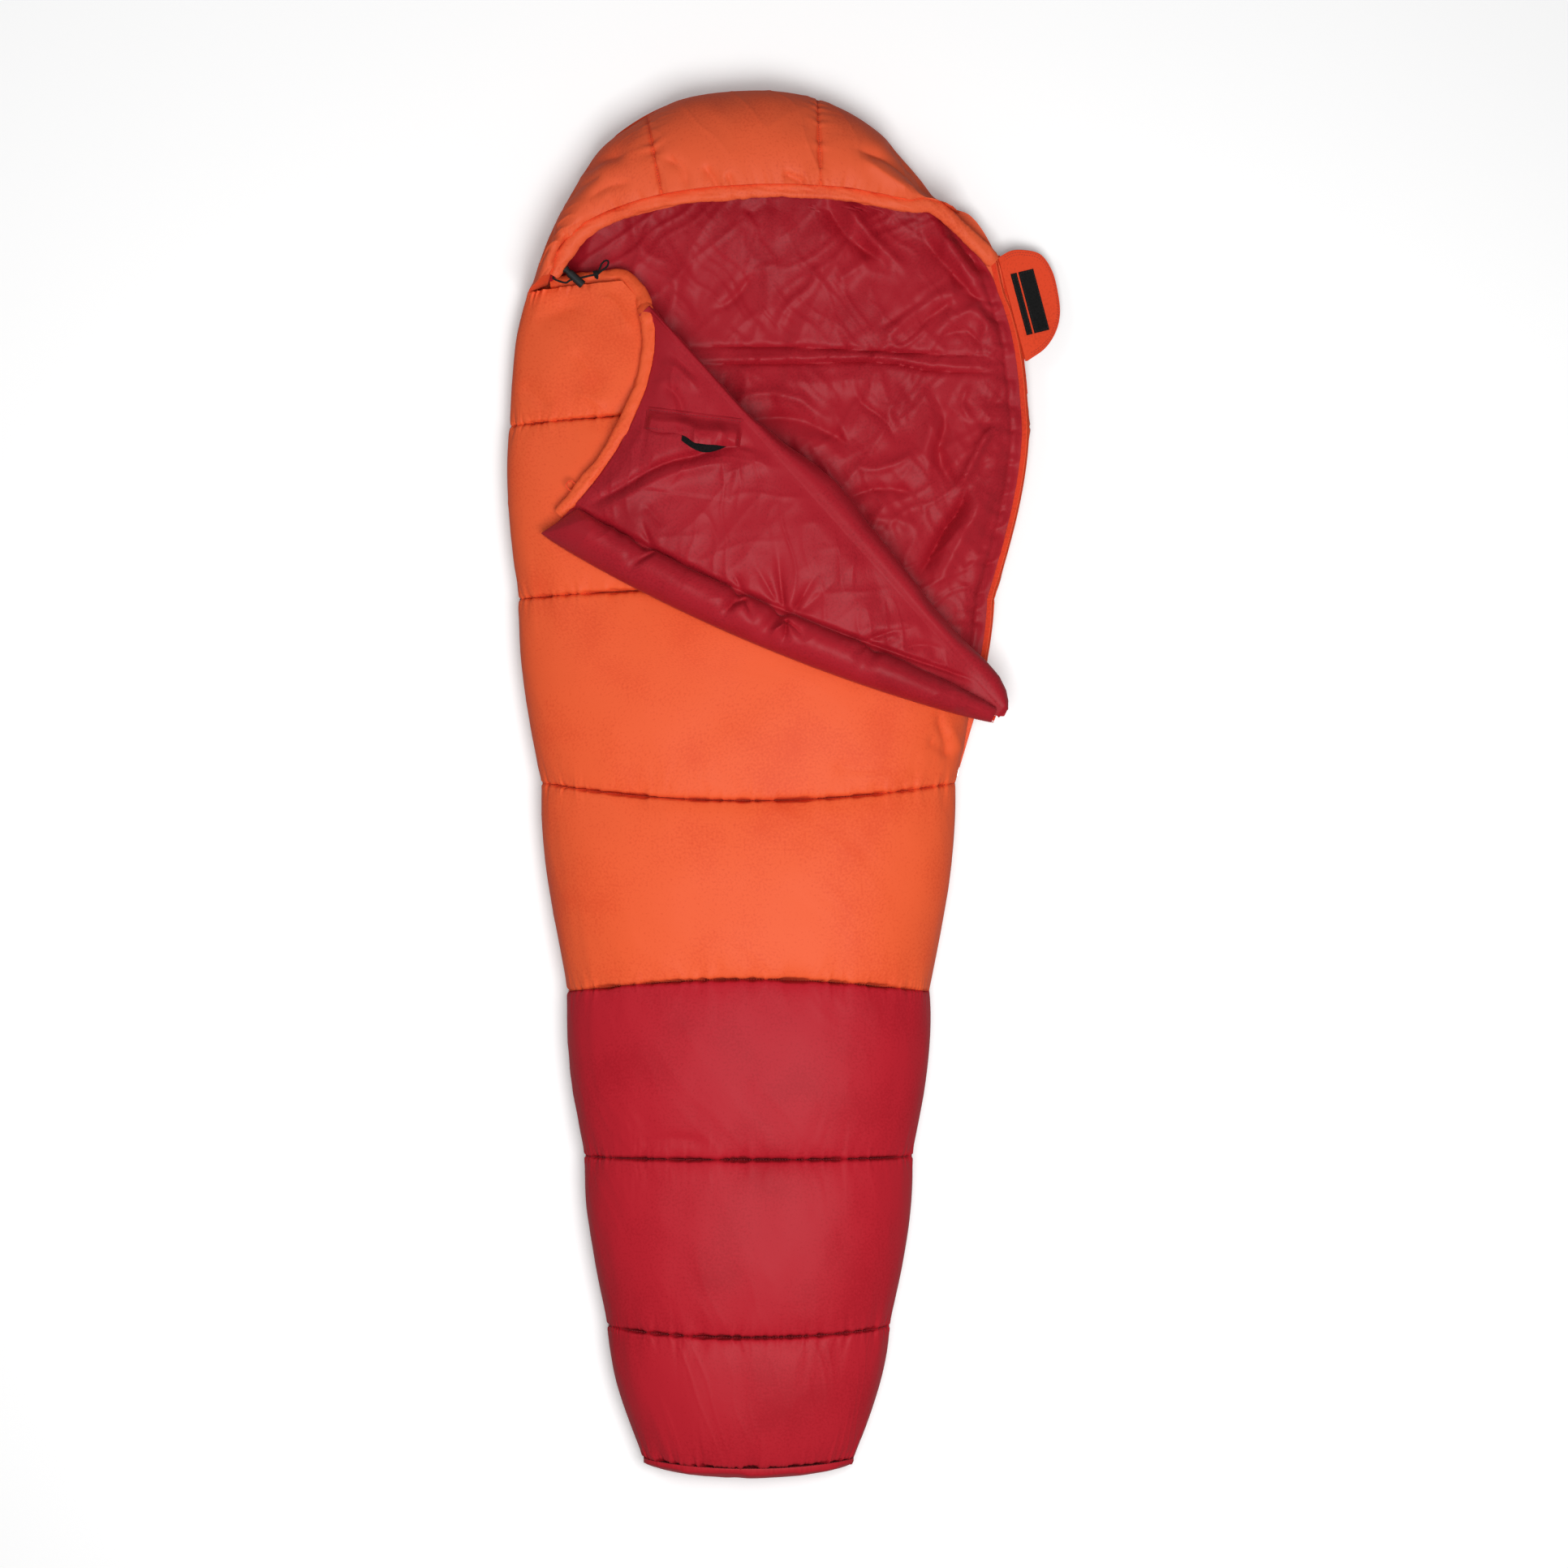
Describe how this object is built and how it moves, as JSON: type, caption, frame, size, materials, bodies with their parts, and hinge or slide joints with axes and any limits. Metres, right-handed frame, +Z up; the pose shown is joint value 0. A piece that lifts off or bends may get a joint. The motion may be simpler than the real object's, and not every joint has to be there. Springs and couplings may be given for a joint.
{
  "type": "mummy sleeping bag",
  "caption": "Quilted mummy sleeping bag lying on its back, orange above and red towards the foot, hooded, unzipped with its front corner folded open over a dark red liner.",
  "frame": {"origin": "middle of the footprint, on the floor", "axes": "+Z up, +Y from the foot to the hood, +X towards the zip side"},
  "size_m": [0.8584, 2.1488, 0.2117],
  "materials": {
    "orange_shell": "satin ripstop polyester",
    "red_shell": "satin ripstop polyester",
    "hood_shell": "satin ripstop polyester",
    "liner": "satin polyester taffeta",
    "zip_tape": "woven tape",
    "zip_coil": "matte",
    "zip_metal": "cast and plated",
    "hook_tape": "hook tape",
    "loop_tape": "loop tape",
    "cord": "braided",
    "lock_plastic": "moulded"
  },
  "bodies": {
    "bag": {"back_chamber_1": "orange_shell", "back_chamber_2": "orange_shell", "back_chamber_3": "orange_shell", "back_chamber_4": "orange_shell", "back_chamber_5": "red_shell", "back_chamber_6": "red_shell", "back_chamber_7": "red_shell", "front_chamber_1": "orange_shell", "front_chamber_2": "orange_shell", "front_chamber_3": "orange_shell", "front_chamber_4": "orange_shell", "front_chamber_5": "red_shell", "front_chamber_6": "red_shell", "front_chamber_7": "red_shell", "hood_back_pad": "hood_shell", "hood_left_panel": "hood_shell", "hood_centre_panel": "hood_shell", "hood_right_panel": "hood_shell", "foot_end_cap": "red_shell", "back_liner": "liner", "front_liner": "liner", "hood_liner": "liner", "hood_drawcord_channel": "hood_shell", "drawcord_free_end": "cord", "drawcord_in_channel": "cord", "drawcord_knot": "cord", "chest_drawcord_channel": "orange_shell", "flap_fold": "liner", "back_zip_tape": "zip_tape", "back_zip_coil": "zip_coil", "zip_top_stop": "zip_metal", "closed_zip_tape": "zip_tape", "closed_zip_chain": "zip_coil", "zip_bottom_stop": "zip_metal", "tab_hem": "zip_tape"},
    "flap": {"flap_pad": "orange_shell", "flap_liner": "liner", "draft_tube": "liner", "flap_zip_tape": "zip_tape", "flap_zip_coil": "zip_coil", "flap_drawcord_channel": "orange_shell", "hang_loop": "orange_shell", "tab_loop_patch": "loop_tape", "pocket_patch": "liner", "pocket_hook_strip": "hook_tape"},
    "pocket_flap": {"pocket_flap": "liner"},
    "tab": {"zip_tab": "zip_tape", "tab_hook_strip_wide": "hook_tape", "tab_hook_strip_narrow": "hook_tape"},
    "zip_slider": {"zip_slider": "zip_metal"},
    "zip_puller": {"zip_puller": "zip_metal"},
    "cord_lock": {"cord_lock_barrel": "lock_plastic", "cord_lock_spring": "zip_metal"},
    "cord_lock_plunger": {"cord_lock_plunger": "lock_plastic"}
  },
  "joints": [
    {"name": "flap_fold_hinge", "type": "hinge", "parent": "bag", "child": "flap", "pos_m": [0.05587, 0.43528, 0.122], "axis": [-0.6667, 0.7453, 0], "range_deg": [0, 152], "deforming": ["flap_fold"]},
    {"name": "pocket_flap_hinge", "type": "hinge", "parent": "flap", "child": "pocket_flap", "pos_m": [-0.1359, 0.56967, 0.166], "axis": [-0.9912, 0.1327, 0], "range_deg": [0, 120]},
    {"name": "tab_hinge", "type": "hinge", "parent": "bag", "child": "tab", "pos_m": [0.33449, 0.81839, 0.0432], "axis": [0.2571, -0.9664, 0], "range_deg": [0, 130]},
    {"name": "zip_slider_slide", "type": "slide", "parent": "bag", "child": "zip_slider", "axis": [-0.1295, -0.9916, 0], "range_m": [0, 0.34]},
    {"name": "zip_puller_hinge", "type": "hinge", "parent": "zip_slider", "child": "zip_puller", "pos_m": [0.27324, 0.04428, 0.042], "axis": [0, 0, 1], "range_deg": [0, 170]},
    {"name": "cord_lock_slide", "type": "slide", "parent": "bag", "child": "cord_lock", "axis": [0.9744, 0.225, 0], "range_m": [0, 0.014]},
    {"name": "cord_lock_press", "type": "slide", "parent": "cord_lock", "child": "cord_lock_plunger", "axis": [0.7431, -0.6691, 0], "range_m": [0, 0.004], "stiffness_N_per_m": 400, "springref_m": -0.004, "deforming": ["cord_lock_spring"]}
  ]
}
